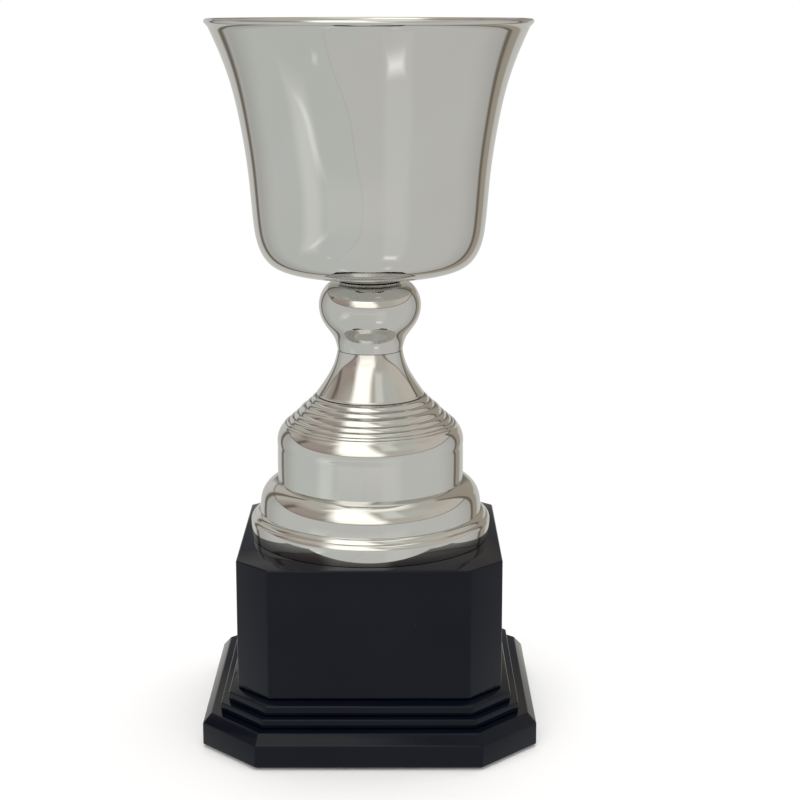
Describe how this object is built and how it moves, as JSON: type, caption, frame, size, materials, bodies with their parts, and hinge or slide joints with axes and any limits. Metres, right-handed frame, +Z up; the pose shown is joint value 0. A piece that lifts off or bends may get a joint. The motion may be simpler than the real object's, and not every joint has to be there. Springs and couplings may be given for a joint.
{
  "type": "cup trophy",
  "caption": "Handleless silver-plated cup trophy: flared bowl, knopped stem and ringed foot, bolted through to a black lacquered stepped plinth with cut corners.",
  "frame": {"origin": "on the floor under the trophy, on the axis of the cup", "axes": "+Z up along the axis of the cup; -Y is the front of the plinth; X and Y are square to the plinth's sides"},
  "size_m": [0.1896, 0.1896, 0.4071],
  "materials": {
    "silver_plate": "mirror polished silver plate",
    "zinc_plated_steel": "bright zinc plate",
    "black_lacquer": "high gloss black lacquer",
    "softwood": "raw",
    "black_felt": "matte felt"
  },
  "bodies": {
    "root": {"cup_bowl": "silver_plate", "neck_collar": "silver_plate", "knop": "silver_plate", "stem": "silver_plate", "foot": "silver_plate", "foot_stiffening_disc": "zinc_plated_steel", "tie_rod": "zinc_plated_steel", "cup_flat_washer": "zinc_plated_steel", "cup_spring_washer": "zinc_plated_steel", "cup_dome_nut": "zinc_plated_steel", "base_flat_washer": "zinc_plated_steel", "base_spring_washer": "zinc_plated_steel", "base_hex_nut": "zinc_plated_steel", "base_top_board": "black_lacquer", "front_panel": "black_lacquer", "right_panel": "black_lacquer", "back_panel": "black_lacquer", "left_panel": "black_lacquer", "front_right_corner_panel": "black_lacquer", "back_right_corner_panel": "black_lacquer", "back_left_corner_panel": "black_lacquer", "front_left_corner_panel": "black_lacquer", "front_right_glue_block": "softwood", "back_right_glue_block": "softwood", "back_left_glue_block": "softwood", "front_left_glue_block": "softwood", "upper_moulding_board": "black_lacquer", "lower_moulding_board": "black_lacquer", "plinth_slab": "black_lacquer", "front_right_screw": "zinc_plated_steel", "back_right_screw": "zinc_plated_steel", "back_left_screw": "zinc_plated_steel", "front_left_screw": "zinc_plated_steel", "felt_sheet": "black_felt"}
  },
  "joints": []
}
